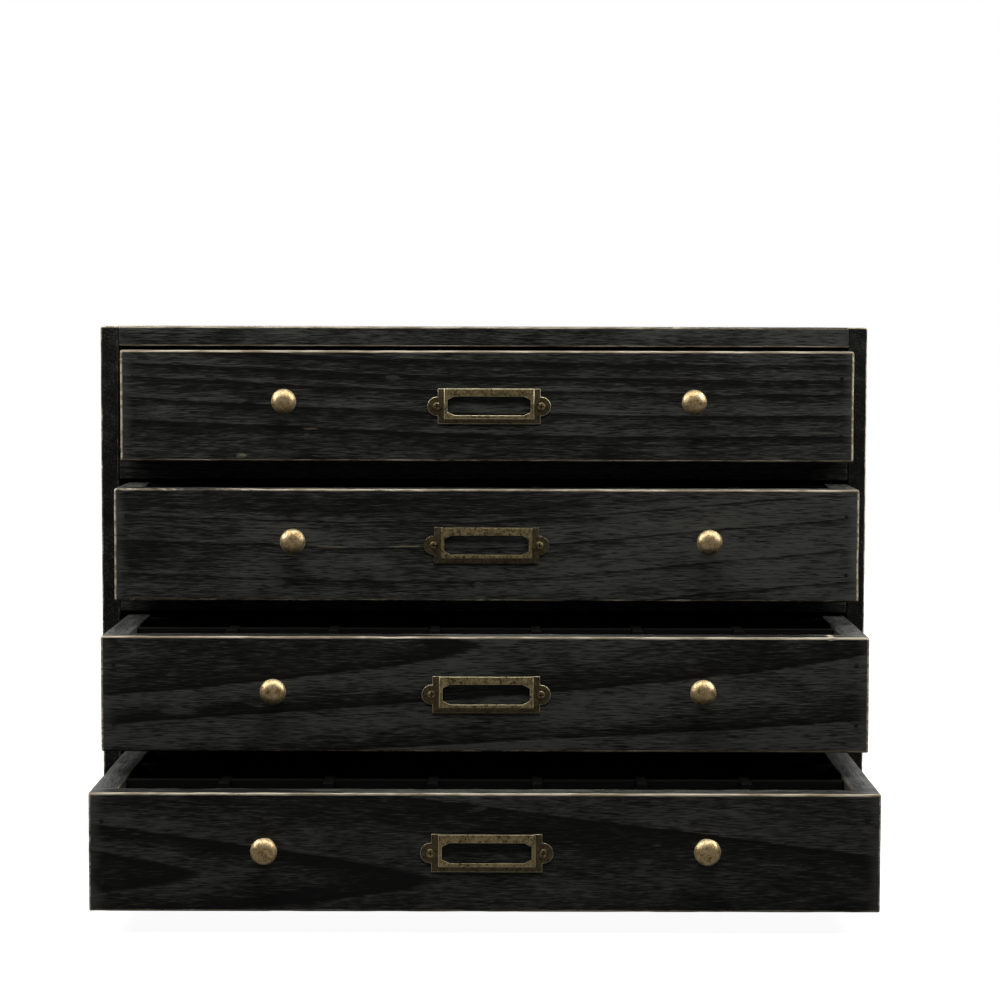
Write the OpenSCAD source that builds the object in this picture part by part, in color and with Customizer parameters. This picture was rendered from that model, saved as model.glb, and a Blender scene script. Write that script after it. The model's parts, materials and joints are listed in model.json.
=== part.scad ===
// Tabletop jewelry armoire: a nailed wooden cabinet with four pull-out drawers. Each drawer
// holds a removable grid of lapped divider strips, two domed knobs and a pressed label frame.
// Millimetres. +X is right, -Y is the front and +Z is up. The origin is the centre of the
// cabinet's underside, and the drawers stand partly open.

/* [Cabinet] */
// Outside width of the cabinet
cabinet_w = 380; // [300:1:480]
// Outside depth of the cabinet, with its back panel
cabinet_d = 226; // [180:1:300]
// Thickness of each side board
side_t = 9; // [6:0.5:15]
// Thickness of the top board
top_t = 10; // [6:0.5:18]
// Thickness of the bottom board
bottom_t = 10; // [6:0.5:18]
// Thickness of the shelf under each upper drawer
shelf_t = 10; // [6:0.5:18]
// Thickness of the back panel
back_panel_t = 4; // [3:0.5:8]

/* [Drawers] */
// Number of drawers
drawer_count = 4; // [1:1:4]
// Clear height of each drawer's bay
bay_h = 56; // [44:1:80]
// Clearance under each drawer
run_gap = 0.4; // [0.3:0.1:1]
// Clearance over each drawer
head_gap = 1.6; // [0.8:0.1:3]
// Clearance at each side of a centred drawer
side_gap = 2.25; // [1.9:0.05:4]
// Clearance behind a closed drawer
rear_gap = 10; // [2:1:20]
// How far right of centre each drawer sits, from the top drawer down
drawer_shift = [1.8, 1.8, 1.4, 1.6]; // [-1.6:0.1:1.8]
// How far each drawer is pulled out, from the top drawer down
drawer_pull = [24.5, 48.5, 93, 135.5]; // [0:0.5:160]
// Thickness of the drawer front
front_t = 12; // [9:0.5:16]
// Thickness of the drawer's sides and back
stock_t = 12; // [8:0.5:15]
// Thickness of the drawer's plywood bottom
ply_t = 3; // [2:0.5:6]

/* [Divider grid] */
// Cells across each drawer
grid_columns = 7; // [3:1:9]
// Cells from front to back in each drawer
grid_rows = 3; // [2:1:4]
// Thickness of the divider strips
strip_t = 5; // [3:0.5:7]
// How far the strips' tops lie under the drawer's rim
strip_drop = 0.5; // [0:0.1:5]
// Space between the cross strips' ends and the drawer's front and back
tip_gap = 17; // [5:1:25]
// Length of the cross strips past the outer long strips
tip_len = 9; // [3:1:15]
// Clearance at each side of a lap slot and at the long strips' ends
lap_gap = 0.15; // [0.05:0.05:0.5]

/* [Knobs] */
// Distance between a drawer's two knobs
knob_spread = 198.5; // [120:0.5:220]
// Height of the knobs above the middle of the front
knob_rise = 2.5; // [-5:0.5:8]
// How far right of centre each drawer's pair of knobs sits, from the top drawer down
knob_shift = [1, 7, 1.5, 0.5]; // [-8:0.5:8]
// Diameter of the knob's domed head
knob_d = 12; // [10:0.5:16]
// Distance from the front to the top of the dome
knob_reach = 15; // [12:0.5:20]
// Height of the dome above its rim
dome_h = 3.8; // [2:0.1:4.5]
// Diameter of the knob's foot
knob_foot_d = 8.4; // [6:0.2:9]
// Diameter of the knob's neck
knob_neck_d = 5.6; // [5:0.2:6]
// Diameter of the knob's screw
knob_screw_d = 3; // [2.5:0.1:3.5]
// Length of screw inside the knob
knob_thread_len = 6; // [4:0.5:7]
// Diameter of the knob screw's head
knob_screw_head_d = 6; // [5:0.5:8]
// Height of the knob screw's head
knob_screw_head_h = 2; // [1.6:0.2:3]

/* [Label frame] */
// How far right of centre each label frame sits, from the top drawer down
label_shift = [1, 0, 0.6, 1]; // [-3:0.1:3]
// Width of the flange without its ears
flange_w = 50; // [46:0.5:54]
// Height of the flange
flange_h = 17.2; // [15:0.1:22]
// Width of the raised frame
raised_w = 43.6; // [42:0.1:45]
// Height of the raised frame, measured down from the flange's top
raised_h = 14.6; // [12.5:0.1:14.8]
// Distance that the raised frame stands out
raised_out = 2.4; // [1.8:0.1:4]
// Thickness of the sheet
sheet_t = 0.8; // [0.5:0.1:1]
// Width of the window
window_w = 40.6; // [34:0.1:40.8]
// Height of the window
window_h = 9.3; // [7:0.1:9.6]
// Metal under the window
window_sill = 1.6; // [1:0.1:2]
// Length of a window corner's cut along the width
corner_x = 3.4; // [1:0.1:5]
// Length of a window corner's cut along the height
corner_z = 1.7; // [1:0.1:3]
// Radius of the ears
ear_r = 4.6; // [4:0.1:6]
// Distance between the label frame's two screws
label_screw_span = 50.8; // [50:0.1:56]
// Diameter of the label frame's screws
label_screw_d = 2; // [1.6:0.1:2.4]
// Length of the label frame's screws in the wood
label_screw_len = 8; // [5:0.5:8]
// Diameter of the label screws' heads
label_screw_head_d = 4; // [3.6:0.1:4.6]
// Height of the label screws' heads
label_screw_head_h = 1.2; // [1:0.1:1.6]

/* [Nails] */
// Diameter of the nails
nail_d = 1.4; // [1:0.1:2]
// Length of the nails
nail_len = 22; // [18:1:25]
// Diameter of the nails' heads
nail_head_d = 2.2; // [2.1:0.1:3]
// Thickness of the nails' heads
nail_head_t = 0.8; // [0.5:0.1:1.2]
// Distance of a front's nails from its top and bottom edges
nail_margin = 13; // [10:1:18]
// Distance of the cabinet's nails from its front and back edges
cabinet_nail_inset = 45; // [30:1:60]
// Distance of the plywood bottom's nails from the sides' ends
ply_nail_inset = 32; // [28:1:50]

/* [Hidden] */
// Radial clearance between a fastener and its hole
fastener_fit = 0.02;
// Radial clearance of a screw through a part that it doesn't bite into
screw_clearance = 0.2;
// Overshoot of a cut past the face that it opens
cut = 1;
// Width and depth of the cross recess in a screw's head, as shares of the head
recess_share = 0.62;
recess_width_share = 0.16;
recess_depth_share = 0.5;
// Height of the knob's foot, and of the rim under its dome
foot_h = 1.4;
rim_h = 0.7;

level_step = bay_h + shelf_t;
cabinet_h = bottom_t + drawer_count * bay_h + (drawer_count - 1) * shelf_t + top_t;
board_w = cabinet_w - 2 * side_t;
board_d = cabinet_d - back_panel_t;
front_y = -cabinet_d / 2;
drawer_w = board_w - 2 * side_gap;
drawer_h = bay_h - run_gap - head_gap;
drawer_d = board_d - rear_gap;
inner_w = drawer_w - 2 * stock_t;
wall_h = drawer_h - ply_t;
strip_h = wall_h - strip_drop;
cell_w = (inner_w - (grid_columns - 1) * strip_t) / grid_columns;
cross_y = front_t + tip_gap;
cross_len = drawer_d - front_t - stock_t - 2 * tip_gap;
row_step = (cross_len - 2 * tip_len - strip_t) / grid_rows;
knob_z = drawer_h / 2 + knob_rise;
label_z = drawer_h / 2;
raised_y = flange_h / 2 - raised_h;

wood_color = "#24211f";
grid_color = "#1c1a18";
ply_color = "#2b2723";
bronze_color = "#8a744c";
steel_color = "#55504a";

CABINET_PARTS = [
    "left_side", "right_side", "top_board", "bottom_board", "back_panel", "carcass_nails"
];
DRAWER_PARTS = [
    "front", "left_side", "right_side", "back", "bottom", "long_strips", "cross_strips",
    "knobs", "knob_screws", "label_frame", "label_screws", "nails"
];

// Height of the underside of the board that carries drawer n, counted from the top
function shelf_z(n) = bottom_t + (drawer_count - n) * level_step - shelf_t;

// Height of the underside of drawer n
function drawer_z(n) = bottom_t + (drawer_count - n) * level_step + run_gap;

// Heights of the middles of all the boards that run across the cabinet
board_levels = concat(
    [bottom_t / 2, cabinet_h - top_t / 2],
    [for (n = [1 : 1 : drawer_count - 1]) shelf_z(n) + shelf_t / 2]
);

// Nails through the cabinet's sides and back, each as the place of its head and its turn
cabinet_nails = concat(
    [
        for (z = board_levels)
        for (side = [-1, 1])
        for (y = [front_y + cabinet_nail_inset, cabinet_d / 2 - cabinet_nail_inset])
        [[side * cabinet_w / 2, y, z], [0, side * 90, 0]]
    ],
    [
        for (z = board_levels)
        for (side = [-1, 1])
        [[side * cabinet_w / 4, cabinet_d / 2, z], [-90, 0, 0]]
    ],
    [
        for (z = [cabinet_h / 3, cabinet_h * 2 / 3])
        for (side = [-1, 1])
        [[side * (cabinet_w - side_t) / 2, cabinet_d / 2, z], [-90, 0, 0]]
    ]
);

// Nails of one drawer, in the drawer's own frame
drawer_nails = concat(
    [
        for (z = [nail_margin, drawer_h - nail_margin])
        for (side = [-1, 1])
        [[side * (drawer_w - stock_t) / 2, 0, z], [90, 0, 0]]
    ],
    [
        for (z = [nail_margin, drawer_h - nail_margin])
        for (side = [-1, 1])
        [[side * drawer_w / 2, drawer_d - stock_t / 2, z], [0, side * 90, 0]]
    ],
    [
        for (y = [front_t + ply_nail_inset, drawer_d - ply_nail_inset])
        for (side = [-1, 1])
        [[side * (drawer_w - stock_t) / 2, y, 0], [180, 0, 0]]
    ]
);

module at_places(places) {
    for (place = places)
        translate(place[0])
            rotate(place[1])
                children();
}

// The drawer's own frame: the middle of the foot of its front, with +Y running back
module in_drawer(n) {
    translate([drawer_shift[n - 1], front_y - drawer_pull[n - 1], drawer_z(n)])
        children();
}

// A place on the drawer's front, with +Z pointing out of the drawer and +Y up
module on_front(x, z) {
    translate([x, 0, z])
        rotate([90, 0, 0])
            children();
}

// A nail whose head lies under z = 0 and whose shank points down
module nail(fit = 0, above = 0) {
    translate([0, 0, -nail_len])
        cylinder(d = nail_d + 2 * fit, h = nail_len - nail_head_t / 2, $fn = 16);
    translate([0, 0, -nail_head_t])
        cylinder(d = nail_head_d + 2 * fit, h = nail_head_t + above, $fn = 24);
}

module nail_hole() {
    nail(fastener_fit, cut);
}

module cross_recess(head_d, head_h) {
    long = head_d * recess_share;
    wide = head_d * recess_width_share;
    deep = head_h * recess_depth_share;
    for (turn = [0, 90])
        rotate(turn)
            translate([-long / 2, -wide / 2, head_h - deep])
                cube([long, wide, deep + cut]);
}

// A screw whose head stands on z = 0 and whose shank points down
module screw(d, len, head_d, head_h) {
    translate([0, 0, -len])
        cylinder(d = d, h = len + head_h / 4, $fn = 24);
    difference() {
        rotate_extrude($fn = 40)
            polygon([
                [0, 0],
                [head_d / 2, 0],
                [head_d / 2, head_h * 0.3],
                [head_d * 0.44, head_h * 0.68],
                [head_d * 0.3, head_h * 0.92],
                [0, head_h]
            ]);
        cross_recess(head_d, head_h);
    }
}

module cabinet_board(size, place) {
    color(wood_color)
        difference() {
            translate(place)
                cube(size);
            at_places(cabinet_nails)
                nail_hole();
        }
}

module left_side() {
    cabinet_board([side_t, board_d, cabinet_h], [-cabinet_w / 2, front_y, 0]);
}

module right_side() {
    cabinet_board([side_t, board_d, cabinet_h], [cabinet_w / 2 - side_t, front_y, 0]);
}

module top_board() {
    cabinet_board([board_w, board_d, top_t], [-board_w / 2, front_y, cabinet_h - top_t]);
}

module bottom_board() {
    cabinet_board([board_w, board_d, bottom_t], [-board_w / 2, front_y, 0]);
}

module shelf(n) {
    cabinet_board([board_w, board_d, shelf_t], [-board_w / 2, front_y, shelf_z(n)]);
}

module back_panel() {
    cabinet_board(
        [cabinet_w, back_panel_t, cabinet_h],
        [-cabinet_w / 2, cabinet_d / 2 - back_panel_t, 0]
    );
}

module carcass_nails() {
    color(steel_color)
        at_places(cabinet_nails)
            nail();
}

// A board of a drawer, bored for the drawer's nails
module drawer_board(n, size, place, paint = wood_color) {
    color(paint)
        in_drawer(n)
            difference() {
                translate(place)
                    cube(size);
                at_places(drawer_nails)
                    nail_hole();
            }
}

module drawer_front(n) {
    color(wood_color)
        in_drawer(n)
            difference() {
                translate([-drawer_w / 2, 0, 0])
                    cube([drawer_w, front_t, drawer_h]);
                at_places(drawer_nails)
                    nail_hole();
                for (side = [-1, 1])
                    on_front(knob_shift[n - 1] + side * knob_spread / 2, knob_z)
                        translate([0, 0, -front_t - cut])
                            cylinder(
                                d = knob_screw_d + 2 * screw_clearance,
                                h = front_t + 2 * cut,
                                $fn = 24
                            );
                for (side = [-1, 1])
                    on_front(label_shift[n - 1] + side * label_screw_span / 2, label_z)
                        translate([0, 0, -label_screw_len - fastener_fit])
                            cylinder(
                                d = label_screw_d + 2 * fastener_fit,
                                h = label_screw_len + cut,
                                $fn = 24
                            );
            }
}

module drawer_side(n, side) {
    drawer_board(
        n,
        [stock_t, drawer_d - front_t, wall_h],
        [side > 0 ? drawer_w / 2 - stock_t : -drawer_w / 2, front_t, ply_t]
    );
}

module drawer_back(n) {
    drawer_board(n, [inner_w, stock_t, wall_h], [-inner_w / 2, drawer_d - stock_t, ply_t]);
}

module drawer_bottom(n) {
    drawer_board(n, [drawer_w, drawer_d - front_t, ply_t], [-drawer_w / 2, front_t, 0], ply_color);
}

// Middle of the cross strip right of cell c
function cross_x(c) = -inner_w / 2 + c * cell_w + (c - 0.5) * strip_t;

// Front face of long strip r, counted from 0 at the front
function long_y(r) = cross_y + tip_len + r * row_step;

module cross_strips(n) {
    slot_w = strip_t + 2 * lap_gap;
    color(grid_color)
        in_drawer(n)
            for (c = [1 : grid_columns - 1])
                difference() {
                    translate([cross_x(c) - strip_t / 2, cross_y, ply_t])
                        cube([strip_t, cross_len, strip_h]);
                    for (r = [0 : grid_rows])
                        translate([cross_x(c) - slot_w / 2, long_y(r) - lap_gap, ply_t - cut])
                            cube([slot_w, slot_w, strip_h / 2 + cut]);
                }
}

module long_strips(n) {
    slot_w = strip_t + 2 * lap_gap;
    long = inner_w - 2 * lap_gap;
    color(grid_color)
        in_drawer(n)
            for (r = [0 : grid_rows])
                difference() {
                    translate([-long / 2, long_y(r), ply_t])
                        cube([long, strip_t, strip_h]);
                    for (c = [1 : grid_columns - 1])
                        translate([cross_x(c) - slot_w / 2, long_y(r) - cut, ply_t + strip_h / 2])
                            cube([slot_w, strip_t + 2 * cut, strip_h / 2 + cut]);
                }
}

// The knob's outline from its foot to the top of its dome, as radius and height
knob_r = knob_d / 2;
rim_z = knob_reach - dome_h;
dome_r = (pow(knob_r, 2) + pow(dome_h, 2)) / (2 * dome_h);
dome_steps = 10;
dome_angle = asin(knob_r / dome_r);
knob_outline = concat(
    [
        [0, 0],
        [knob_foot_d / 2, 0],
        [knob_foot_d / 2, foot_h * 0.7],
        [knob_neck_d / 2 + 0.3, foot_h],
        [knob_neck_d / 2, foot_h * 2],
        [knob_neck_d / 2, rim_z - rim_h - 3],
        [knob_neck_d / 2 + 0.9, rim_z - rim_h - 1.4],
        [knob_r * 0.93, rim_z - rim_h - 0.5],
        [knob_r, rim_z - rim_h]
    ],
    [
        for (i = [0 : dome_steps])
        let (turn = dome_angle * (1 - i / dome_steps))
        [dome_r * sin(turn), knob_reach - dome_r * (1 - cos(turn))]
    ]
);

module knobs(n) {
    color(bronze_color)
        in_drawer(n)
            for (side = [-1, 1])
                on_front(knob_shift[n - 1] + side * knob_spread / 2, knob_z)
                    difference() {
                        rotate_extrude($fn = 64)
                            polygon(knob_outline);
                        translate([0, 0, -cut])
                            cylinder(
                                d = knob_screw_d + 2 * fastener_fit,
                                h = knob_thread_len + cut + fastener_fit,
                                $fn = 24
                            );
                    }
}

module knob_screws(n) {
    color(steel_color)
        in_drawer(n)
            for (side = [-1, 1])
                translate([knob_shift[n - 1] + side * knob_spread / 2, front_t, knob_z])
                    rotate([-90, 0, 0])
                        screw(
                            knob_screw_d,
                            front_t + knob_thread_len,
                            knob_screw_head_d,
                            knob_screw_head_h
                        );
}

module flange_outline() {
    square([flange_w, flange_h], center = true);
    for (side = [-1, 1])
        translate([side * label_screw_span / 2, 0])
            circle(r = ear_r, $fn = 48);
}

// The window: a rectangle with its four corners cut off
module window_outline() {
    half = window_w / 2;
    low = raised_y + window_sill;
    high = low + window_h;
    polygon([
        [-half + corner_x, low],
        [half - corner_x, low],
        [half, low + corner_z],
        [half, high - corner_z],
        [half - corner_x, high],
        [-half + corner_x, high],
        [-half, high - corner_z],
        [-half, low + corner_z]
    ]);
}

// The card slips in from above, behind the raised frame
module label_frame(n) {
    color(bronze_color)
        in_drawer(n)
            on_front(label_shift[n - 1], label_z)
                difference() {
                    union() {
                        linear_extrude(sheet_t)
                            flange_outline();
                        translate([-raised_w / 2, raised_y, 0])
                            cube([raised_w, raised_h, raised_out]);
                    }
                    translate([-raised_w / 2 + sheet_t, raised_y + sheet_t, -cut])
                        cube([raised_w - 2 * sheet_t, raised_h, raised_out - sheet_t + cut]);
                    translate([0, 0, -cut])
                        linear_extrude(raised_out + 2 * cut)
                            window_outline();
                    for (side = [-1, 1])
                        translate([side * label_screw_span / 2, 0, -cut])
                            cylinder(
                                d = label_screw_d + 2 * screw_clearance,
                                h = sheet_t + 2 * cut,
                                $fn = 24
                            );
                }
}

module label_screws(n) {
    color(bronze_color)
        in_drawer(n)
            for (side = [-1, 1])
                on_front(label_shift[n - 1] + side * label_screw_span / 2, label_z)
                    translate([0, 0, sheet_t])
                        screw(
                            label_screw_d,
                            label_screw_len + sheet_t,
                            label_screw_head_d,
                            label_screw_head_h
                        );
}

module nails_of_drawer(n) {
    color(steel_color)
        in_drawer(n)
            at_places(drawer_nails)
                nail();
}

left_side();
right_side();
top_board();
bottom_board();
back_panel();
carcass_nails();
for (n = [1 : 1 : drawer_count - 1]) {
    shelf(n);
}
for (n = [1 : drawer_count]) {
    drawer_front(n);
    drawer_side(n, -1);
    drawer_side(n, 1);
    drawer_back(n);
    drawer_bottom(n);
    long_strips(n);
    cross_strips(n);
    knobs(n);
    knob_screws(n);
    label_frame(n);
    label_screws(n);
    nails_of_drawer(n);
}
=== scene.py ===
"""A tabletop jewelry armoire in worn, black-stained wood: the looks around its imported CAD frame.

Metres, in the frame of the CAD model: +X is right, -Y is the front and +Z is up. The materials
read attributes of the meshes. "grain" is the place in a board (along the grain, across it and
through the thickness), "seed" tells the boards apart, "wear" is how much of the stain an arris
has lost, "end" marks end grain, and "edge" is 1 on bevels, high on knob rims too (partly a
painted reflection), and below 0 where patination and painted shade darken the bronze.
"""

import json
import math

import bmesh
import bpy
from mathutils import Matrix, Vector, noise

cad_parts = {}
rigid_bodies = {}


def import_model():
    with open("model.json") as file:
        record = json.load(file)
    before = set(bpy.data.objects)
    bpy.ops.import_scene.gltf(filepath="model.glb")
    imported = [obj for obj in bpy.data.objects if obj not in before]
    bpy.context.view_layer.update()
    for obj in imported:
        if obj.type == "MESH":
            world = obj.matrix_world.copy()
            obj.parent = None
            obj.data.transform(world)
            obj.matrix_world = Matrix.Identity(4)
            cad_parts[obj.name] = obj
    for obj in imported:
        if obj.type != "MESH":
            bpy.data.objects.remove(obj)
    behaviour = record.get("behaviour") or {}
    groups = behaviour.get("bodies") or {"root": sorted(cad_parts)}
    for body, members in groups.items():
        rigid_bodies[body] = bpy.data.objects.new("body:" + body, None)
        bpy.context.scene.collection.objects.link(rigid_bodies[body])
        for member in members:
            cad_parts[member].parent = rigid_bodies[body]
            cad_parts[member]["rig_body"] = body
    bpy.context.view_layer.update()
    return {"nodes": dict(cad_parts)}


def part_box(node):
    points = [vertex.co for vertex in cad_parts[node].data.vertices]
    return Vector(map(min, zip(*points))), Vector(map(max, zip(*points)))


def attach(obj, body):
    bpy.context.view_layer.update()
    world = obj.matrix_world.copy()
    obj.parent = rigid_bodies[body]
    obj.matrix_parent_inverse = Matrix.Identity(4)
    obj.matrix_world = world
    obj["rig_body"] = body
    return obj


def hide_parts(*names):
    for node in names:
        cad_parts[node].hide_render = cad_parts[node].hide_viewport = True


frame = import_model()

MM = 0.001
ALONG_X, ALONG_Y = 0, 1
DRAWERS = (1, 2, 3, 4)


# ------------------------------------------------------------------------------- node graphs
class Graph:
    """A material's nodes, with short calls for what the materials here are made of."""

    def __init__(self, name):
        self.material = bpy.data.materials.new(name)
        self.material.use_nodes = True
        self.tree = self.material.node_tree
        self.shader = self.tree.nodes["Principled BSDF"]

    def put(self, socket, value):
        if isinstance(value, bpy.types.NodeSocket):
            self.tree.links.new(value, socket)
        else:
            socket.default_value = value

    def node(self, kind, inputs=(), **settings):
        made = self.tree.nodes.new(kind)
        for name, value in settings.items():
            setattr(made, name, value)
        for name, value in dict(inputs).items():
            self.put(made.inputs[name], value)
        return made

    def math(self, operation, *values, clamp=False):
        made = self.node("ShaderNodeMath", operation=operation, use_clamp=clamp)
        for socket, value in zip(made.inputs, values):
            self.put(socket, value)
        return made.outputs[0]

    def total(self, *terms):
        """The sum of (value, factor) pairs."""
        result = 0.0
        for value, factor in terms:
            result = self.math("MULTIPLY_ADD", value, factor, result)
        return result

    def vector(self, operation, a, b):
        made = self.node("ShaderNodeVectorMath", operation=operation)
        self.put(made.inputs[0], a)
        self.put(made.inputs["Scale" if operation == "SCALE" else 1], b)
        return made.outputs[0]

    def attribute(self, name, output="Fac"):
        return self.node("ShaderNodeAttribute", attribute_name=name).outputs[output]

    def noise(self, place, scale, detail=2.0, rough=0.5, warp=0.0):
        """Noise from 0 to 1, with features of 1 / scale along each axis."""
        inputs = {
            "Vector": self.vector("MULTIPLY", place, scale),
            "Scale": 1.0,
            "Detail": detail,
            "Roughness": rough,
            "Distortion": warp,
        }
        return self.node("ShaderNodeTexNoise", inputs).outputs["Fac"]

    def lines(self, value, detail=2.0, rough=0.5):
        """Noise along one value, so that its features are lines of equal value."""
        inputs = {"W": value, "Scale": 1.0, "Detail": detail, "Roughness": rough}
        made = self.node("ShaderNodeTexNoise", inputs, noise_dimensions="1D")
        return made.outputs["Fac"]

    def step(self, value, low, high):
        """0 at low and 1 at high, which may be the smaller, with a smooth rise between them."""
        made = self.node("ShaderNodeMapRange", interpolation_type="SMOOTHSTEP")
        for name, given in (("Value", value), ("From Min", low), ("From Max", high)):
            self.put(made.inputs[name], given)
        return made.outputs[0]

    def mix(self, factor, a, b):
        """Colour a where factor is 0 and colour b where it is 1."""
        made = self.node("ShaderNodeMix", data_type="RGBA", clamp_factor=True)
        for socket, value in zip((made.inputs[0], made.inputs[6], made.inputs[7]), (factor, a, b)):
            self.put(socket, value)
        return made.outputs[2]

    def ramp(self, value, low, high, stops):
        """A grey that follows stops, each a (value, grey) pair, between low and high."""
        made = self.node("ShaderNodeValToRGB")
        share = self.math("DIVIDE", self.math("SUBTRACT", value, low), high - low, clamp=True)
        self.put(made.inputs[0], share)
        elements = made.color_ramp.elements
        while len(elements) < len(stops):
            elements.new(0.5)
        for element, (at, grey) in zip(elements, stops):
            element.position = (at - low) / (high - low)
            element.color = (grey, grey, grey, 1)
        return made.outputs[0]

    def bump(self, height, strength, distance):
        inputs = {"Height": height, "Strength": strength, "Distance": distance}
        self.put(self.shader.inputs["Normal"], self.node("ShaderNodeBump", inputs).outputs[0])

    def finish(self, **values):
        for name, value in values.items():
            self.put(self.shader.inputs[name.replace("_", " ")], value)
        return self.material


def rgb(red, green, blue):
    return (red, green, blue, 1.0)


# ------------------------------------------------------------------------------- wood
STAIN_DARK = rgb(0.0060, 0.0060, 0.0055)
STAIN_MID = rgb(0.0230, 0.0230, 0.0212)
STAIN_LIGHT = rgb(0.090, 0.091, 0.081)
# Grey of dust in the grain, which also colours the painted sheen at the ends of the fronts
PALE_DUST_AND_SHEEN = rgb(0.135, 0.136, 0.125)
RUBBED = rgb(0.085, 0.067, 0.047)
RAW_TAN = rgb(0.29, 0.235, 0.155)
RAW_CREAM = rgb(0.60, 0.53, 0.40)

# How far each board's seed moves its noises and its flow
SEED_OFFSET = (7.31, 3.17, 5.71)
PLY_SEED_OFFSET = (4.1, 8.3, 2.9)
SEED_FLOW = 91.7
# How far the growth lines wander, in the units of the flow
WAVER_REACH = 34
RIPPLE_REACH = 14
# How far the wandering moves the tips of the arches to the left on average, in mm
ARCH_SHIFT = 15
# How far the growth rings shift with each mm through the board, in mm across it
RING_SLANT = 0.5
# Darkness added to every board, and the mean darkness of a figure, which is taken off
BASE_DARK = 0.11
FIGURE_MEAN = 0.6
# Over how many mm the ends of a front turn pale with a painted sheen
END_SHEEN_REACH = 9
# A scuff stronger than this shows raw wood, and a weaker one is only dusty
RAW_SCUFF = 0.35
# How far the middle line of a scuff wavers, in mm
SCUFF_WAVER = 1.5


# A flow takes a place in the board in mm: u along the grain, v across it and w through it. Growth
# lines are lines of equal flow. A straight flow counts tenths of a millimetre across the grain
# and a cathedral flow counts millimetres along it.
def straight_flow(left_slope, right_slope, bend):
    """Lines that run at one slope on the left and another on the right, over a bend in mm."""
    mean = (right_slope + left_slope) / 2
    half = (right_slope - left_slope) / 2
    tenths = 10

    def flow(g, u, v, w):
        run = g.math("SUBTRACT", g.math("SQRT", g.math("MULTIPLY_ADD", u, u, bend**2)), bend)
        return g.total((v, tenths), (w, RING_SLANT * tenths), (u, -mean * tenths), (run, -half * tenths))

    return flow


def cathedral_flow(axis, slope, tip, flank):
    """Nested arches that point right along an axis: rounder with tip, steeper with flank."""

    def flow(g, u, v, w):
        off = g.math("SUBTRACT", v, g.math("MULTIPLY_ADD", u, slope, axis))
        h = g.math("ABSOLUTE", g.math("MULTIPLY_ADD", w, RING_SLANT, off))
        arch = g.math("DIVIDE", g.math("MULTIPLY", h, h), g.math("MULTIPLY_ADD", h, flank, tip))
        return g.math("SUBTRACT", g.math("ADD", u, arch), ARCH_SHIFT)

    return flow


def board_place(g, seed_offset):
    """A place for noises, which differs from board to board, and the place in the board in mm."""
    grain = g.attribute("grain", "Vector")
    place = g.vector("ADD", grain, g.vector("SCALE", seed_offset, g.attribute("seed")))
    axes = g.node("ShaderNodeSeparateXYZ", {"Vector": g.vector("SCALE", grain, 1 / MM)})
    return place, axes.outputs


def worn_off(g, place, colour, raw):
    """The colour with the stain rubbed off the arrises, how rubbed it is, and its grit."""
    patch = g.noise(place, (34, 130, 130), detail=3.0, rough=0.6)
    grit = g.noise(place, (420, 1700, 1700), detail=2.0)
    worn = g.total((g.attribute("wear"), 1.45), (patch, 1.3), (grit, 0.5))
    rub = g.step(worn, 1.40, 1.90)
    bare = g.step(worn, 1.72, 2.02)
    colour = g.mix(bare, g.mix(rub, colour, RUBBED), raw)
    return colour, rub, grit


def scuffed(g, marks, right, up, fray, colour, raw):
    """The colour with scuffs on it, at places in mm to the right and up, whose outlines fray."""
    for mark_right, mark_up, half_w, half_h, strength in marks:
        x = g.math("DIVIDE", g.math("SUBTRACT", right, mark_right), half_w)
        z = g.math("DIVIDE", g.math("SUBTRACT", up, mark_up), half_h)
        reach = g.total((g.math("MULTIPLY", x, x), 1), (g.math("MULTIPLY", z, z), 1), (fray, 1.2))
        cover = g.math("MULTIPLY", g.step(reach, 1.6, 0.9), strength)
        colour = g.mix(cover, colour, raw if strength > RAW_SCUFF else PALE_DUST_AND_SHEEN)
    return colour


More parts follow.
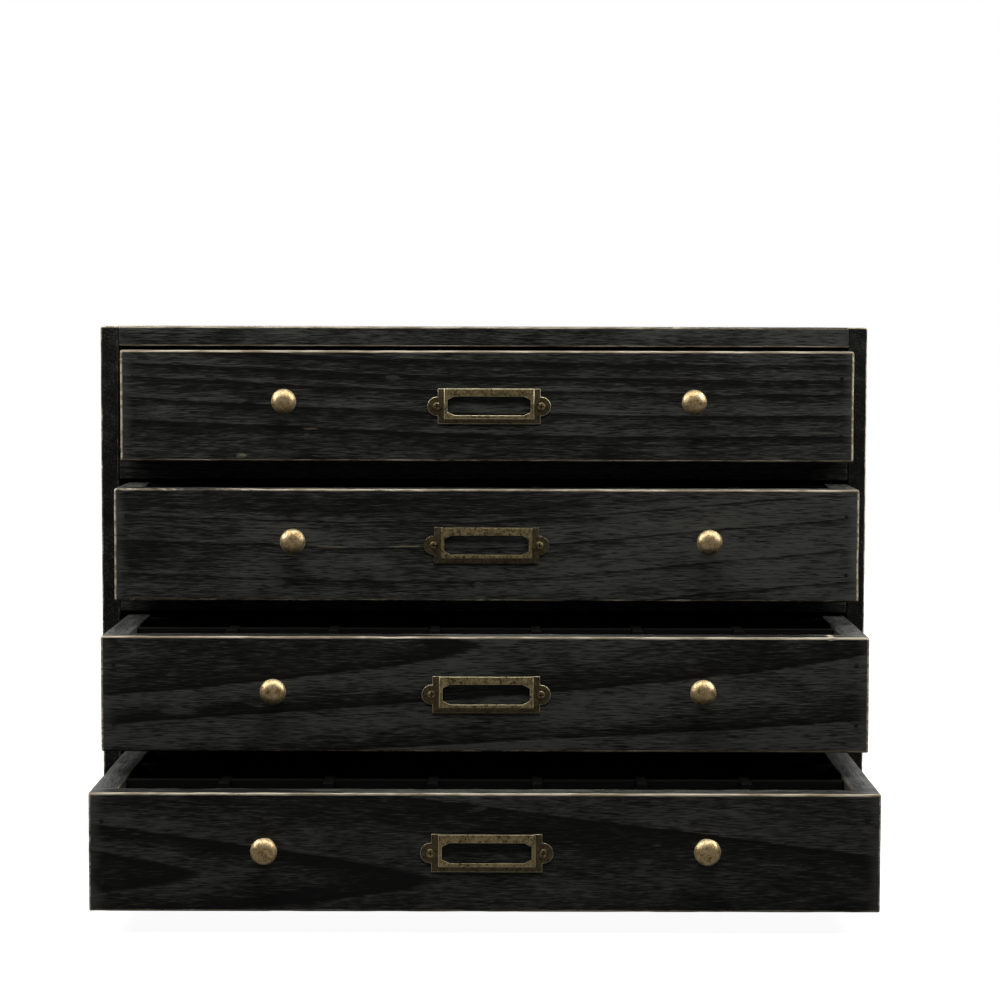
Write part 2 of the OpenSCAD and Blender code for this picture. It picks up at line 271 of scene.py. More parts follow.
def stained_wood(
    name,
    flow,
    zones=None,
    force=0.3,
    deep=0.0,
    fall=0.0,
    haze=0.6,
    pale=0.35,
    shine=0.12,
    half=0.0,
    marks=(),
):
    """Black-stained softwood.

    zones: (flow, darkness) stops of the board's own figure, or none for a figure from noise
    force: how strongly the figure shows
    deep: how much darker the whole board is
    fall: how much darker it gets with each metre to the right
    haze: how much dust its grain holds
    pale: how pale its ends turn with a painted sheen
    shine: its specular level
    half: half of its length in mm, or 0 if its ends get no painted sheen
    marks: its scuffs, as SCUFFS gives them
    """
    g = Graph(name)
    place, (u, v, w) = board_place(g, SEED_OFFSET)
    waver = g.noise(place, (8, 30, 30), detail=2.0)
    ripple = g.noise(place, (45, 160, 160), detail=3.0, rough=0.6)
    cloud = g.noise(place, (11, 42, 42), detail=3.0, rough=0.6)
    mottle = g.noise(place, (38, 95, 95), detail=3.0, rough=0.6)
    fibre = g.noise(place, (80, 1100, 1100), detail=3.0, rough=0.62)
    hair = g.noise(place, (170, 2600, 2600), detail=2.0, rough=0.6)
    pores = g.step(g.noise(place, (150, 1300, 1300), detail=1.0), 0.60, 0.70)
    along = g.total((flow(g, u, v, w), 1), (waver, WAVER_REACH), (ripple, RIPPLE_REACH))
    shifted = g.math("MULTIPLY_ADD", g.attribute("seed"), SEED_FLOW, along)
    fine = g.lines(g.math("MULTIPLY", shifted, 0.055), detail=3.0, rough=0.7)
    if zones:
        figure = g.ramp(along, zones[0][0], zones[-1][0], zones)
    else:
        broad = g.lines(g.math("MULTIPLY", shifted, 0.010), detail=1.0)
        late = g.step(g.math("ABSOLUTE", g.math("SUBTRACT", broad, 0.5)), 0.016, 0.0)
        figure = g.total((broad, 0.7), (late, 0.3))

    level = deep + BASE_DARK - FIGURE_MEAN * force
    dark = g.total((figure, force), (cloud, 0.50), (mottle, 0.45), (fine, 0.24), (fibre, 0.72), (hair, 0.95))
    dark = g.total((dark, 1), (pores, 0.16), (g.attribute("end"), 0.20), (u, fall * MM), (1.0, level))
    colour = g.mix(g.step(dark, 1.20, 1.58), STAIN_LIGHT, STAIN_MID)
    colour = g.mix(g.step(dark, 1.46, 1.78), colour, STAIN_DARK)

    dust = g.step(g.noise(place, (14, 45, 45), detail=4.0, rough=0.65), 0.46, 0.68)
    streak = g.step(g.total((fibre, 0.6), (hair, 0.4)), 0.40, 0.32)
    dust_and_sheen = g.math("MULTIPLY", dust, g.math("MULTIPLY", streak, haze))
    # Near the ends of a front a painted sheen turns the wood pale, in the grey of the dust
    if half:
        ragged = g.total((g.math("ABSOLUTE", u), 1), (mottle, 14))
        painted_end_sheen = g.step(ragged, half, half + END_SHEEN_REACH)
        dust_and_sheen = g.math("MAXIMUM", dust_and_sheen, g.math("MULTIPLY", painted_end_sheen, pale))
    colour = g.mix(dust_and_sheen, colour, PALE_DUST_AND_SHEEN)

    raw = g.mix(g.step(g.noise(place, (60, 420, 420), detail=2.0), 0.40, 0.60), RAW_TAN, RAW_CREAM)
    colour, rub, grit = worn_off(g, place, colour, raw)
    up = g.total((v, 1), (ripple, SCUFF_WAVER), (1.0, -SCUFF_WAVER / 2))
    colour = scuffed(g, marks, u, up, hair, colour, raw)

    rough = g.total((fibre, 0.16), (dust_and_sheen, 0.20), (rub, 0.18))
    rough = g.math("ADD", rough, 0.42, clamp=True)
    height = g.total((fibre, 0.8), (hair, 0.5), (fine, 0.3), (pores, -0.5), (rub, -0.5), (grit, 0.12))
    g.bump(height, 0.6, 0.25 * MM)
    g.put(g.shader.inputs["Specular IOR Level"], shine)
    return g.finish(Base_Color=colour, Roughness=rough)


def plywood(name):
    """Thin stained plywood: rotary-cut figure on its faces and three plies at its edges."""
    g = Graph(name)
    place, (_, v, w) = board_place(g, PLY_SEED_OFFSET)
    waver = g.noise(place, (6, 14, 14), detail=3.0, warp=0.4)
    along = g.total((v, 3.0), (waver, 190))
    fine = g.lines(g.math("MULTIPLY", along, 0.05), detail=4.0, rough=0.6)
    fibre = g.noise(place, (30, 1200, 1200), detail=3.0, rough=0.6)
    core = g.step(g.math("ABSOLUTE", w), 0.62, 0.48)
    dark = g.total((fine, 0.7), (fibre, 0.5), (core, 0.35))
    colour = g.mix(g.step(dark, 0.35, 0.95), STAIN_LIGHT, STAIN_DARK)
    patch = g.noise(place, (50, 180, 180), detail=3.0, rough=0.6)
    worn = g.total((g.attribute("wear"), 1.3), (patch, 1.3))
    colour = g.mix(g.step(worn, 1.45, 1.9), colour, RAW_TAN)
    g.bump(g.total((fibre, 0.6), (fine, 0.4)), 0.4, 0.2 * MM)
    rough = g.math("MULTIPLY_ADD", fibre, 0.2, 0.5)
    return g.finish(Base_Color=colour, Roughness=rough)


# ------------------------------------------------------------------------------- metals
# Each bronze's light, middle and dark tone
KNOB_TONES = (rgb(0.62, 0.49, 0.29), rgb(0.46, 0.32, 0.15), rgb(0.20, 0.12, 0.04))
FRAME_TONES = (rgb(0.42, 0.33, 0.165), rgb(0.24, 0.18, 0.085), rgb(0.040, 0.030, 0.017))
# Rubbed bronze, which on the knobs' rims also stands for a painted reflection
RUBBED_AND_REFLECTING_BRONZE = rgb(0.95, 0.84, 0.52)
STEEL_STAIN = rgb(0.010, 0.0098, 0.0092)
STEEL_WORN = rgb(0.06, 0.055, 0.05)


def aged_bronze(name, light, mid, dark, metallic):
    """Antiqued bronze: a mottled patination, rubbed bright on its bevels and on knob rims (there partly a
    painted reflection), and dark in its recesses as patination and painted shade.
    """
    g = Graph(name)
    place = g.node("ShaderNodeTexCoord").outputs["Object"]
    edge = g.attribute("edge")
    blotch = g.noise(place, (420, 420, 420), detail=4.0, rough=0.65, warp=0.6)
    speck = g.noise(place, (1100, 1100, 900), detail=3.0, rough=0.65)
    scratch = g.noise(place, (2600, 350, 900), detail=2.0, warp=0.4)
    tone = g.total((blotch, 0.62), (speck, 0.55), (scratch, 0.12))
    colour = g.mix(g.step(tone, 0.50, 0.64), dark, mid)
    colour = g.mix(g.step(tone, 0.60, 0.78), colour, light)
    bright = g.math("MULTIPLY", edge, g.step(g.total((blotch, 0.6), (speck, 0.5)), 0.34, 0.54))
    colour = g.mix(bright, colour, RUBBED_AND_REFLECTING_BRONZE)
    pits = g.math("MULTIPLY", g.step(speck, 0.62, 0.72), 0.7)
    # Edge below 0 darkens the bronze: patination and painted shadow on a frame's flange, painted shade in a
    # screw's recess
    recess_shade_and_patina = g.math("MULTIPLY", edge, -1.0, clamp=True)
    colour = g.mix(g.math("MAXIMUM", pits, recess_shade_and_patina), colour, dark)
    rough = g.total((tone, -0.22), (pits, 0.2), (bright, -0.10))
    rough = g.math("ADD", rough, 0.55, clamp=True)
    g.bump(g.total((speck, 0.6), (pits, -0.6), (blotch, 0.4)), 0.4, 0.07 * MM)
    g.put(g.shader.inputs["Metallic"], metallic)
    return g.finish(Base_Color=colour, Roughness=rough)


def dark_steel(name):
    """Blackened steel with stain on it and rubbed specks of bare metal."""
    g = Graph(name)
    place = g.node("ShaderNodeTexCoord").outputs["Object"]
    blotch = g.noise(place, (900, 900, 900), detail=4.0, rough=0.6)
    speck = g.noise(place, (3200, 3200, 3200), detail=2.0)
    bare = g.step(g.total((blotch, 0.7), (speck, 0.5)), 0.62, 0.80)
    g.put(g.shader.inputs["Metallic"], 0.6)
    g.bump(g.total((blotch, 0.6), (speck, 0.4)), 0.3, 0.05 * MM)
    rough = g.math("MULTIPLY_ADD", blotch, 0.3, 0.34)
    return g.finish(Base_Color=g.mix(bare, STEEL_STAIN, STEEL_WORN), Roughness=rough)


# ------------------------------------------------------------------------------- boards
# Cuts across each rounded arris, and how far the arris's wear reaches onto a face
ARC_STEPS = 3
WEAR_BAND = 1.3 * MM
# Nicks in the arrises: how many to a metre, coarse and fine, and how much of the radius they take
COARSE_NICKS = 70
FINE_NICKS = 190
NICK_DEPTH = 0.45
# A little more than one, so that points where an arris begins count as part of it
JUST_OVER = 1.001
AXIS_SIDES = (("left", "right"), ("front", "back"), ("bottom", "top"))
# A number for each node, so that no two boards share their grain and nicks
SEEDS = {name: 1 + k * 0.618 for k, name in enumerate(sorted(frame["nodes"]))}


def lattice(half, radius, step):
    """Cuts along one axis of a board: fine in the rounded arrises and even between them."""
    arc = [half - radius + radius * math.tan(math.pi / 4 * k / ARC_STEPS) for k in range(ARC_STEPS + 1)]
    inner = half - min(WEAR_BAND, half * 0.5)
    count = max(1, round(2 * inner / step))
    even = [-inner + 2 * inner * k / count for k in range(count + 1)]
    return [-a for a in reversed(arc)] + even + arc


def arris_wear(wear, sides, along):
    """The wear of the arris or corner where these sides meet, along from -1 to 1 along it."""
    found = []
    for i, first in enumerate(sides):
        for second in sides[i + 1 :]:
            given = wear.get(f"{first} {second}", wear.get("all", 0.3))
            if isinstance(given, tuple):
                given = given[0] + (given[1] - given[0]) * (along + 1) / 2
            found.append(given)
    return max(found)


def add_attribute(mesh, name, kind, values, domain="POINT"):
    key = "vector" if kind == "FLOAT_VECTOR" else "value"
    mesh.attributes.new(name, kind, domain).data.foreach_set(key, values)


def board_mesh(name, low, high, grain_axis, wear, seed, radius, step):
    """A board with rounded, nicked arrises and the attributes that its material reads."""
    centre, half = (low + high) / 2, (high - low) / 2
    others = sorted((a for a in range(3) if a != grain_axis), key=lambda a: -half[a])
    order = (grain_axis, others[0], others[1])
    cuts = [lattice(half[a], radius, step) for a in range(3)]
    last = [len(c) - 1 for c in cuts]
    index, points, grains, wears = {}, [], [], []

    def vertex(key):
        if key in index:
            return index[key]
        p = Vector(cuts[a][key[a]] for a in range(3))
        core = Vector(max(radius - half[a], min(half[a] - radius, p[a])) for a in range(3))
        off = p - core
        sides = [
            AXIS_SIDES[a][off[a] > 0]
            for a in range(3)
            if abs(p[a]) > half[a] - radius * JUST_OVER
        ]
        worn = 0.0
        if off.length > 0:
            reach = radius
            if len(sides) > 1:
                free = [a for a in range(3) if not set(AXIS_SIDES[a]) & set(sides)]
                along = p[free[0]] / half[free[0]] if free else 0.0
                worn = arris_wear(wear, sides, along)
                nick = noise.noise(p * COARSE_NICKS + Vector((seed * 3, 0, 0)))
                nick += 0.5 * noise.noise(p * FINE_NICKS + Vector((0, seed * 5, 0)))
                reach -= radius * worn * NICK_DEPTH * max(0.0, nick)
            p = core + off.normalized() * reach
        index[key] = len(points)
        points.append(centre + p)
        grains.extend(p[a] for a in order)
        wears.append(worn)
        return index[key]

    faces, ends = [], []
    for axis in range(3):
        b, c = (axis + 1) % 3, (axis + 2) % 3
        for end in (0, last[axis]):
            for i in range(last[b]):
                for j in range(last[c]):
                    ring = []
                    for di, dj in ((0, 0), (1, 0), (1, 1), (0, 1)):
                        key = [0, 0, 0]
                        key[axis], key[b], key[c] = end, i + di, j + dj
                        ring.append(vertex(tuple(key)))
                    faces.append(ring if end else ring[::-1])
                    ends.append(float(axis == grain_axis))
    mesh = bpy.data.meshes.new(name)
    mesh.from_pydata(points, [], faces)
    add_attribute(mesh, "grain", "FLOAT_VECTOR", grains)
    add_attribute(mesh, "seed", "FLOAT", [seed] * len(points))
    add_attribute(mesh, "wear", "FLOAT", wears)
    add_attribute(mesh, "end", "FLOAT", ends, "FACE")
    mesh.shade_smooth()
    return mesh


def add_piece(mesh, nodes, material):
    """Shows mesh in place of CAD nodes of one body."""
    mesh.materials.append(material)
    piece = bpy.data.objects.new(mesh.name, mesh)
    bpy.context.scene.collection.objects.link(piece)
    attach(piece, frame["nodes"][nodes[0]]["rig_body"])
    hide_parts(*nodes)


def add_board(node, material, grain_axis, wear, radius=0.7 * MM, step=6 * MM):
    low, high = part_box(node)
    mesh = board_mesh(node + "_board", low, high, grain_axis, wear, SEEDS[node], radius, step)
    add_piece(mesh, [node], material)


def add_sheet(node, material, wear, radius):
    """A plywood sheet with its grain from left to right."""
    add_board(node, material, ALONG_X, {"all": wear}, radius, step=9 * MM)


# ------------------------------------------------------------------------------- small pieces
# Points nearer than this are one, and heights nearer than this are one level, in metres
SAME_POINT = 1e-6
SAME_LEVEL = 1e-5
# Faces turned by less than this are one flat face
FLAT_ANGLE = math.radians(1)
# Edges sharper than these are bevelled, or shaded as sharp on softened pieces and on knobs
BEVEL_ANGLE = math.radians(30)
SHADE_ANGLE = math.radians(40)
KNOB_SHADE_ANGLE = math.radians(55)
BEVEL_SEGMENTS = 2
NAIL_PROUD = 0.05 * MM
# A screw's recess lies between these shares of its head's height, and within this share of its
# head's diameter from the middle
RECESS_DEPTHS = (0.12, 0.7)
RECESS_REACH = 0.34
# How dark a label frame's flange is painted, as patina and as painted shadow under its raised part; the
# flange lies behind this share of the frame's depth
FLANGE_PATINA_AND_SHADE = 0.75
FLANGE_SHARE = 0.45
# A knob in mm: the radii of its rim and of its dome's foot, and the height where the dome begins
RIM_R = 6.0
DOME_R = 5.78
DOME_FOOT = 11.2
DOME_STEPS = 14
# How bright a knob's rim is painted, partly rubbing and partly a painted reflection, beyond this share of its
# radius
RIM_RUB_AND_REFLECTION = 0.7
RIM_SHARE = 0.955


def loose_parts(bm):
    """The separate solids of a mesh, each as its set of vertices."""
    left, parts = set(bm.verts), []
    while left:
        part, queue = set(), [left.pop()]
        while queue:
            vert = queue.pop()
            part.add(vert)
            for edge in vert.link_edges:
                other = edge.other_vert(vert)
                if other in left:
                    left.discard(other)
                    queue.append(other)
        parts.append(part)
    return parts


def softened_mesh(name, node, bevel, shape=None, dirt=None, grain_axis=ALONG_X):
    """A CAD node's shape with its sharp edges bevelled.

    shape: changes the vertices of each solid before its edges are bevelled
    dirt: gives how dark, from 0 to 1, a face is painted at its centre: patination and painted shadow on a
    frame's flange, painted shade in a screw's recess
    """
    bm = bmesh.new()
    bm.from_mesh(frame["nodes"][node].data)
    bmesh.ops.remove_doubles(bm, verts=bm.verts, dist=SAME_POINT)
    bmesh.ops.dissolve_limit(bm, angle_limit=FLAT_ANGLE, verts=bm.verts, edges=bm.edges)
    if shape:
        for part in loose_parts(bm):
            shape(part)
        bm.normal_update()
    sharp = [e for e in bm.edges if len(e.link_faces) == 2 and e.calc_face_angle() > BEVEL_ANGLE]
    made = bmesh.ops.bevel(
        bm,
        geom=sharp,
        offset=bevel,
        segments=BEVEL_SEGMENTS,
        profile=0.5,
        affect="EDGES",
        clamp_overlap=True,
    )
    bm.normal_update()
    bm.faces.index_update()
    edge = [0.0] * len(bm.faces)
    for face in made["faces"]:
        if 2 * sum(e.is_convex for e in face.edges) >= len(face.edges):
            edge[face.index] = 1.0
    # Patina and painted shade are stored as edge values below 0
    if dirt:
        for face in bm.faces:
            amount = dirt(face.calc_center_median())
            if amount == 1 or edge[face.index] == 0:
                edge[face.index] = -amount
    mesh = bpy.data.meshes.new(name)
    bm.to_mesh(mesh)
    centre = sum((v.co for v in mesh.vertices), Vector()) / len(mesh.vertices)
    others = [a for a in range(3) if a != grain_axis]
    axes = (grain_axis, others[0], others[1])
    grain = [(v.co - centre)[a] for v in mesh.vertices for a in axes]
    add_attribute(mesh, "grain", "FLOAT_VECTOR", grain)
    add_attribute(mesh, "seed", "FLOAT", [SEEDS[node]] * len(mesh.vertices))
    add_attribute(mesh, "edge", "FLOAT", edge, "FACE")
    bm.free()
    mesh.shade_smooth()
    mesh.set_sharp_from_angle(angle=SHADE_ANGLE)
    return mesh


def add_softened(node, material, slot, bevel, **options):
    """A softened piece in place of a node, with the options of softened_mesh."""
    mesh = softened_mesh(node + "_softened", node, bevel, **options)
    add_piece(mesh, [node], material)


def raise_nail_head(part):
    """Sets a nail's head a little proud of the wood that it is driven into."""
    low = Vector(min(v.co[a] for v in part) for a in range(3))
    high = Vector(max(v.co[a] for v in part) for a in range(3))
    axis = max(range(3), key=lambda a: high[a] - low[a])
    middle = (low + high) / 2

    def spread(end):
        ring = [v.co - middle for v in part if abs(v.co[axis] - end) < SAME_LEVEL]
        return max((Vector(p[a] for a in range(3) if a != axis).length for p in ring), default=0)

    head = high[axis] if spread(high[axis]) > spread(low[axis]) else low[axis]
    outward = 1 if head == high[axis] else -1
    for vert in part:
        if abs(vert.co[axis] - head) < SAME_LEVEL:
            vert.co[axis] += outward * NAIL_PROUD


def screw_recess_shade(node, head_d, head_h, outward):
    """How dark a point is painted: fully in the cross recess of one of a node's two screws, a painted shade,
    else not at all.
    """
    low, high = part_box(node)
    top = low.y if outward < 0 else high.y
    middle = (low.z + high.z) / 2
    screws = (low.x + head_d / 2, high.x - head_d / 2)
    shallow, deep = RECESS_DEPTHS

    def dirt(p):
        depth = (top - p.y) * outward
        reach = min(math.hypot(p.x - x, p.z - middle) for x in screws)
        return float(shallow * head_h < depth < deep * head_h and reach < RECESS_REACH * head_d)

    return dirt


def frame_patina_and_shade(node):
    """How dark a point of a label frame is painted: much on its flange, as patination and painted shadow
    under the raised part, none on its raised part.
    """
    low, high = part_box(node)

    def dirt(p):
        return FLANGE_PATINA_AND_SHADE if p.y - low.y > FLANGE_SHARE * (high.y - low.y) else 0.0

    return dirt


def knob_profile(reach):
    """A knob's outline from its foot on the wood to the top of its dome, as (radius, height)."""
    foot = [(0, 0), (4.2, 0), (4.25, 0.35), (4.1, 0.9), (3.6, 1.25), (3.0, 1.6)]
    neck = [(2.8, 2.4), (2.75, 4.6), (2.8, 6.4), (3.1, 8.0)]
    rim = [(3.9, 9.1), (5.1, 9.9), (5.75, 10.2), (RIM_R, 10.45), (RIM_R, 10.95), (5.9, 11.15)]
    dome_h = reach - DOME_FOOT
    sphere_r = (RIM_R**2 + dome_h**2) / (2 * dome_h)
    spread = math.asin(DOME_R / sphere_r)
    dome = []
    for k in range(DOME_STEPS + 1):
        turn = spread * (1 - k / DOME_STEPS)
        dome.append((sphere_r * math.sin(turn), reach - sphere_r * (1 - math.cos(turn))))
    return [(radius * MM, height * MM) for radius, height in foot + neck + rim + dome]


def lathe(bm, profile, place, segments=96):
    """Turns a profile about the axis that points out of a drawer's front, at place."""
    rings = []
    for radius, height in profile:
        ring = []
        for k in range(segments if radius > SAME_POINT else 1):
            turn = 2 * math.pi * k / segments
            offset = Vector((radius * math.cos(turn), -height, radius * math.sin(turn)))
            ring.append(bm.verts.new(place + offset))
        rings.append(ring)
    for low, high in zip(rings, rings[1:]):
        for k in range(segments):
            j = (k + 1) % segments
            corners = [low[k % len(low)], low[j % len(low)], high[j % len(high)], high[k % len(high)]]
            bm.faces.new(list(dict.fromkeys(corners)))


def add_knobs(n, material):
    """A drawer's two turned knobs, bright round their rims: partly rubbed, partly a painted reflection."""
    node = f"drawer_{n}_knobs"
    low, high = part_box(node)
    middle = (low + high) / 2
    radius = (high.z - low.z) / 2
    spacing = high.x - middle.x - radius
    bm = bmesh.new()
    for x in (low.x + radius, high.x - radius):
        lathe(bm, knob_profile((high.y - low.y) / MM), Vector((x, high.y, middle.z)))
    bmesh.ops.recalc_face_normals(bm, faces=bm.faces)
    mesh = bpy.data.meshes.new(node + "_turned")
    bm.to_mesh(mesh)
    bm.free()
    mesh.shade_smooth()
    mesh.set_sharp_from_angle(angle=KNOB_SHADE_ANGLE)
    # Rim faces get a bright edge value: rubbing and a painted reflection
    edge = []
    for face in mesh.polygons:
        off = face.center - middle
        on_rim = math.hypot(abs(off.x) - spacing, off.z) > RIM_SHARE * radius
        edge.append(RIM_RUB_AND_REFLECTION if on_rim else 0.0)
    add_attribute(mesh, "edge", "FLOAT", edge, "FACE")
    add_piece(mesh, [node], material)


# ------------------------------------------------------------------------------- the armoire
PLAIN = straight_flow(-0.012, 0.018, 90)
# The looks of each drawer front's wood, with the (flow, darkness) stops of its figure
FIGURES = {
    1: dict(
        flow=straight_flow(-0.045, 0.0, 60),
        zones=(
            (-300, 0.5), (-190, 0.6), (-165, 1.0), (-144, 1.35), (-139, 0.3), (-85, 0.5), (-60, 0.9),
            (-40, 1.35), (-34, 0.25), (10, 0.4), (40, 0.8), (66, 1.35), (71, 0.25), (95, 0.5),
            (115, 1.0), (135, 1.3), (140, 0.3), (175, 0.6), (208, 1.3), (214, 0.35), (320, 0.55),
        ),
        deep=-0.01,
    ),
    2: dict(
        flow=straight_flow(-0.03, 0.10, 40),
        zones=(
            (-420, 0.5), (-345, 0.7), (-334, 1.2), (-326, 0.4), (-210, 0.5), (-188, 0.75), (-181, 1.25),
            (-174, 0.35), (-60, 0.45), (-28, 0.7), (-21, 1.3), (-14, 0.3), (70, 0.4), (96, 0.7),
            (102, 1.2), (108, 0.45), (135, 0.6), (150, 0.95), (260, 0.8), (400, 0.85),
        ),
        force=0.34,
        deep=-0.06,
        fall=-0.6,
        pale=0.6,
    ),
    3: dict(
        flow=cathedral_flow(20, 0.0, 2.3, 0.04),
        zones=(
            (-260, 0.65), (-120, 0.8), (-22, 1.05), (-5, 1.4), (3, 0.25), (60, 0.35), (120, 0.8),
            (174, 1.1), (186, 1.4), (194, 0.3), (330, 0.4), (450, 0.85), (508, 1.35), (518, 0.3),
            (700, 0.4),
        ),
        force=0.38,
        deep=-0.08,
    ),
    4: dict(
        flow=cathedral_flow(-16, -0.02, 1.1, 0.095),
        zones=(
            (-260, 0.8), (-150, 0.95), (-131, 1.35), (-123, 0.35), (-90, 0.4), (-66, 0.8), (-34, 1.1),
            (-22, 1.4), (-13, 0.3), (70, 0.45), (200, 0.8), (258, 1.0), (268, 1.4), (278, 0.3),
            (400, 0.4), (600, 0.5),
        ),
        force=0.42,
        deep=-0.01,
        haze=0.4,
        pale=0.6,
    ),
}
# Scuffs on each front: right and up from its centre, half width and half height in mm, strength
SCUFFS = {
    1: (
        (-86, -11, 4, 0.6, 0.4),
        (-46, 14, 4, 1.4, 0.35),
        (-120, -24.5, 3, 1.5, 0.4),
        (-88, -14, 1.5, 1, 0.3),
    ),
    2: (
        (-39, -0.6, 8, 0.45, 0.7),
        (-75, -0.9, 9, 0.4, 0.5),
        (-102, -18, 6, 3, 0.3),
        (-4, -19, 3, 2, 0.3),
    ),
    3: (
        (-143, -8, 10, 2.2, 0.3),
        (161, 26.5, 2.2, 1.0, 1.0),
        (111, -27.5, 12, 0.7, 1.0),
        (179, 15, 1.3, 0.9, 0.7),
    ),
    4: (
        (180, 13.6, 1.3, 1.4, 0.7),
        (180, -12, 1.5, 0.7, 0.5),
        (-184, 18, 1.6, 2.4, 0.9),
        (-2, 20, 4, 1.2, 0.3),
    ),
}
# The wear of each board's arrises. A pair runs from the arris's left, front or lower end to its other.
FRONT_WEAR = {
    1: {"left front": 1.2, "right front": 1.05, "front top": 1.1, "front bottom": 0.75, "all": 0.4},
    2: {"left front": 1.0, "right front": 1.05, "front top": (0.65, 0.9), "front bottom": 0.65, "all": 0.4},
    3: {"left front": 1.15, "right front": 1.15, "front top": 0.92, "front bottom": (0.5, 0.85), "all": 0.45},
    4: {"left front": 0.7, "right front": 0.75, "front top": 0.82, "front bottom": 0.9, "all": 0.45},
}
CASE_WEAR = {
    "left_side": {"left front": (0.75, 0.6), "right front": 0.1, "front top": 1.6, "all": 0.4},
    "right_side": {"right front": (2.0, 0.6), "left front": 0.1, "front top": 0.8, "all": 0.4},
    "top_board": {
        "front top": (1.1, 0.5),
        "front bottom": 0.8,
        "left front": 0.2,
        "right front": 0.0,
        "all": 0.4,
    },
    "bottom_board": {"front top": 0.5, "front bottom": 0.6, "all": 0.3},
    "shelf": {"front top": 0.25, "front bottom": 0.3, "all": 0.2},
}
# Bevels of the small pieces, and the diameter and height of the screws' heads
STRIP_BEVEL = 0.35 * MM
NAIL_BEVEL = 0.15 * MM
FRAME_BEVEL = 0.38 * MM
LABEL_SCREW_BEVEL = 0.07 * MM
KNOB_SCREW_BEVEL = 0.08 * MM
LABEL_SCREW_HEAD = (4 * MM, 1.2 * MM)
KNOB_SCREW_HEAD = (6 * MM, 2 * MM)


def add_cabinet(wood, ply, steel):
    for side in ("left_side", "right_side"):
        add_board(side, wood, ALONG_Y, CASE_WEAR[side])
    for board in ("top_board", "bottom_board"):
        add_board(board, wood, ALONG_X, CASE_WEAR[board])
    for n in DRAWERS[1:]:
        add_board(f"shelf_{n - 1}", wood, ALONG_X, CASE_WEAR["shelf"])
    add_sheet("back_panel", ply, 0.5, 0.35 * MM)
    add_softened("carcass_nails", steel, "dark_steel", NAIL_BEVEL, shape=raise_nail_head)


def add_drawer(n, wood, grid_wood_with_painted_shade, ply, metals):
    name = f"drawer_{n}_"
    low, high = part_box(name + "front")
    half = (high.x - low.x) / 2 / MM
    front_wood = stained_wood(f"front_{n}_wood", **FIGURES[n], half=half, marks=SCUFFS[n])
    add_board(name + "front", front_wood, ALONG_X, FRONT_WEAR[n], radius=0.9 * MM, step=4 * MM)
    for side in ("left", "right"):
        add_board(name + side + "_side", wood, ALONG_Y, {"all": 0.45})
    add_board(name + "back", wood, ALONG_X, {"all": 0.4})
    add_sheet(name + "bottom", ply, 0.4, 0.3 * MM)
    add_softened(name + "long_strips", grid_wood_with_painted_shade, "divider_wood", STRIP_BEVEL)
    add_softened(name + "cross_strips", grid_wood_with_painted_shade, "divider_wood", STRIP_BEVEL, grain_axis=ALONG_Y)
    add_knobs(n, metals["knob"])
    flange_patina_and_shade = frame_patina_and_shade(name + "label_frame")
    add_softened(name + "label_frame", metals["frame"], "aged_bronze", FRAME_BEVEL, dirt=flange_patina_and_shade)
    recess = screw_recess_shade(name + "label_screws", *LABEL_SCREW_HEAD, -1)
    add_softened(name + "label_screws", metals["frame"], "aged_bronze", LABEL_SCREW_BEVEL, dirt=recess)
    recess = screw_recess_shade(name + "knob_screws", *KNOB_SCREW_HEAD, 1)
    add_softened(name + "knob_screws", metals["steel"], "dark_steel", KNOB_SCREW_BEVEL, dirt=recess)
    add_softened(name + "nails", metals["steel"], "dark_steel", NAIL_BEVEL, shape=raise_nail_head)


# ------------------------------------------------------------------------------- the studio
CAMERA_LENS = 97.56
CAMERA_SENSOR = 36
# The camera's place in metres: right of the middle, in front of the case and above its top
CAMERA_RIGHT = 0.0082
CAMERA_BACK = 1.345
CAMERA_ABOVE = 0.002
# How far it looks down and how far it is turned about its own axis, in degrees
CAMERA_PITCH = 3.74
CAMERA_ROLL = 0.13
# Each light's place, the point that it faces, its width and length in metres, and its watts
SOFTBOXES = {
    "left_softbox": ((-0.68, -0.10, 0.62), (0, -0.20, 0.10), (0.5, 0.55), 6.5),
    "right_softbox": ((0.68, -0.10, 0.62), (0, -0.20, 0.10), (0.5, 0.55), 6.5),
    "front_softbox": ((0, -0.85, 1.35), (0, -0.15, 0.05), (1.2, 0.35), 9.5),
    "back_softbox": ((0, 1.3, 0.9), (0, 0.1, 0.12), (1.4, 0.8), 16),
}
# Cards light nothing directly. The bronze and the bevels reflect them.
CARDS = {
    "overhead_card": ((0, -0.25, 0.9), (0, -0.25, 0), (1.0, 0.4), 6.5),
    "floor_card": ((0, -0.66, 0.003), (0, -0.66, 1), (1.2, 0.9), 0.95),
    "front_card": ((0, -1.7, 0.25), (0, 0, 0.14), (1.6, 0.8), 1.0),
}
WORLD_GREY = 0.02
FLOOR_RADIUS = 8.0
# The floor lies just under the case. Its glow rises from the case outwards.
FLOOR_DROP = 0.5 * MM
FLOOR_GLOW = (0.95, 0.99)
GLOW_REACH = (0.45, 1.3)


def grey(level):
    return rgb(level, level, level)


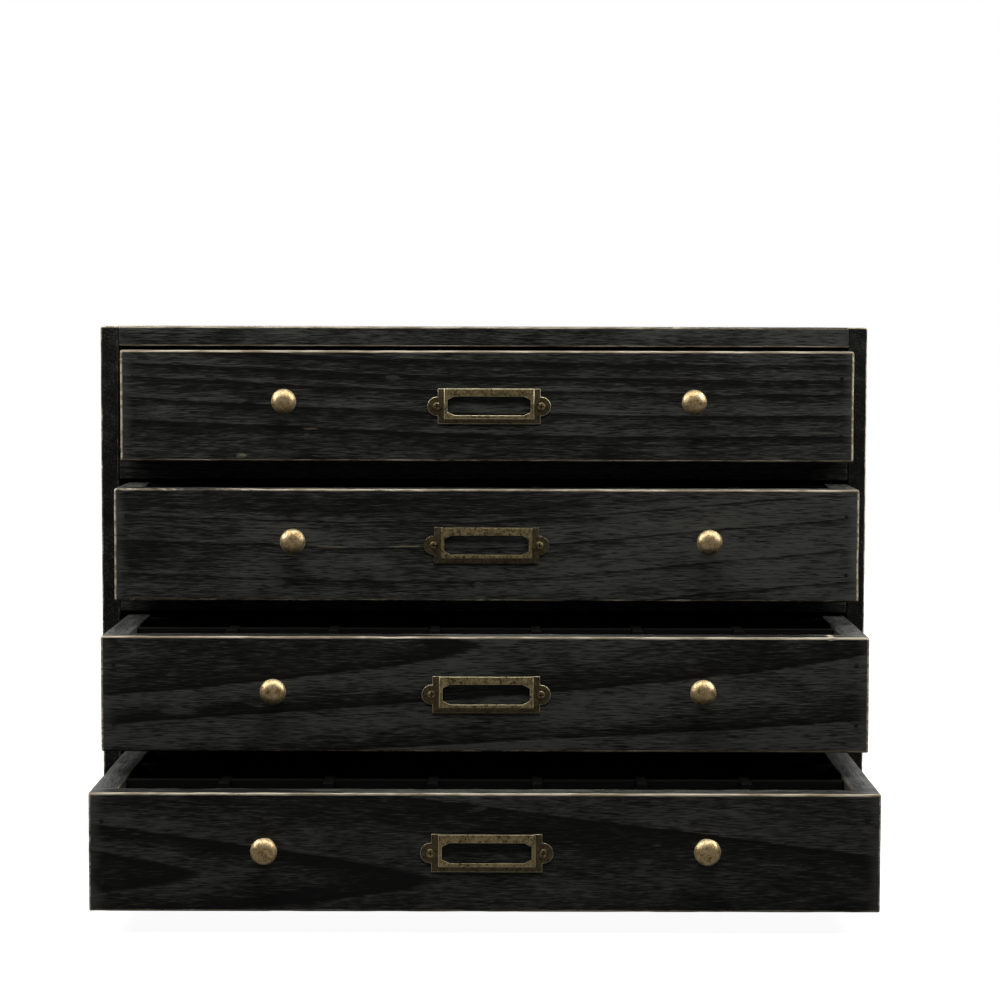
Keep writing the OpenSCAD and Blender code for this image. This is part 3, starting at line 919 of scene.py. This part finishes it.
def add_camera():
    """Level with the top board, a little right of the middle and looking slightly down."""
    data = bpy.data.cameras.new("camera")
    data.lens = CAMERA_LENS
    data.sensor_width = CAMERA_SENSOR
    camera = bpy.data.objects.new("camera", data)
    bpy.context.scene.collection.objects.link(camera)
    bpy.context.scene.camera = camera
    low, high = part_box("left_side")
    place = Vector((CAMERA_RIGHT, low.y - CAMERA_BACK, high.z + CAMERA_ABOVE))
    tilt = Matrix.Rotation(math.radians(90 - CAMERA_PITCH), 4, "X")
    roll = Matrix.Rotation(math.radians(CAMERA_ROLL), 4, "Z")
    camera.matrix_world = Matrix.Translation(place) @ tilt @ roll


def add_softbox(name, place, target, size, watts):
    """A rectangular light that the camera doesn't see."""
    data = bpy.data.lights.new(name, "AREA")
    data.shape = "RECTANGLE"
    data.size, data.size_y = size
    data.energy = watts
    light = bpy.data.objects.new(name, data)
    bpy.context.scene.collection.objects.link(light)
    light.location = place
    light.rotation_euler = (Vector(place) - Vector(target)).to_track_quat("Z", "Y").to_euler()
    light.visible_camera = False
    return light


def add_lights():
    for name, settings in SOFTBOXES.items():
        light = add_softbox(name, *settings)
        light.visible_glossy = name != "front_softbox"
    for name, settings in CARDS.items():
        card = add_softbox(name, *settings)
        card.visible_diffuse = False


def add_floor():
    """A pale, self-lit round floor that the armoire stands on."""
    bm = bmesh.new()
    bmesh.ops.create_circle(bm, cap_ends=True, segments=96, radius=FLOOR_RADIUS)
    mesh = bpy.data.meshes.new("floor")
    bm.to_mesh(mesh)
    bm.free()
    floor = bpy.data.objects.new("floor", mesh)
    bpy.context.scene.collection.objects.link(floor)
    floor.location.z = -FLOOR_DROP
    g = Graph("pale_floor")
    place = g.node("ShaderNodeTexCoord").outputs["Object"]
    away = g.node("ShaderNodeVectorMath", {"Vector": place}, operation="LENGTH").outputs["Value"]
    near, far = FLOOR_GLOW
    g.put(g.shader.inputs["Emission Strength"], 1.0)
    g.put(g.shader.inputs["Emission Color"], g.mix(g.step(away, *GLOW_REACH), grey(near), grey(far)))
    g.put(g.shader.inputs["Specular IOR Level"], 0.0)
    mesh.materials.append(g.finish(Base_Color=grey(0.3)))
    floor.visible_diffuse = False
    floor.visible_glossy = False


def add_world():
    """White to the camera and dim to the object, so that the softboxes shape it."""
    world = bpy.data.worlds.new("studio")
    bpy.context.scene.world = world
    world.use_nodes = True
    nodes, links = world.node_tree.nodes, world.node_tree.links
    seen, lit = nodes["Background"], nodes.new("ShaderNodeBackground")
    seen.inputs["Color"].default_value = grey(1)
    lit.inputs["Color"].default_value = grey(WORLD_GREY)
    path, mix = nodes.new("ShaderNodeLightPath"), nodes.new("ShaderNodeMixShader")
    links.new(path.outputs["Is Camera Ray"], mix.inputs[0])
    links.new(lit.outputs[0], mix.inputs[1])
    links.new(seen.outputs[0], mix.inputs[2])
    links.new(mix.outputs[0], nodes["World Output"].inputs["Surface"])


def add_studio():
    bpy.context.scene.view_settings.view_transform = "Standard"
    add_camera()
    add_world()
    add_floor()
    add_lights()


def add_armoire():
    wood = stained_wood("cabinet_wood", PLAIN, deep=-0.05)
    # Dividers: their black stain is darkened much further, as painted shade
    grid_wood_with_painted_shade = stained_wood("divider_wood", PLAIN, deep=0.9, haze=0.03, shine=0.02)
    ply = plywood("stained_ply")
    metals = {
        "knob": aged_bronze("knob_bronze", *KNOB_TONES, 0.72),
        "frame": aged_bronze("frame_bronze", *FRAME_TONES, 0.85),
        "steel": dark_steel("blackened_steel"),
    }
    add_cabinet(wood, ply, metals["steel"])
    for n in DRAWERS:
        add_drawer(n, wood, grid_wood_with_painted_shade, ply, metals)


add_studio()
add_armoire()
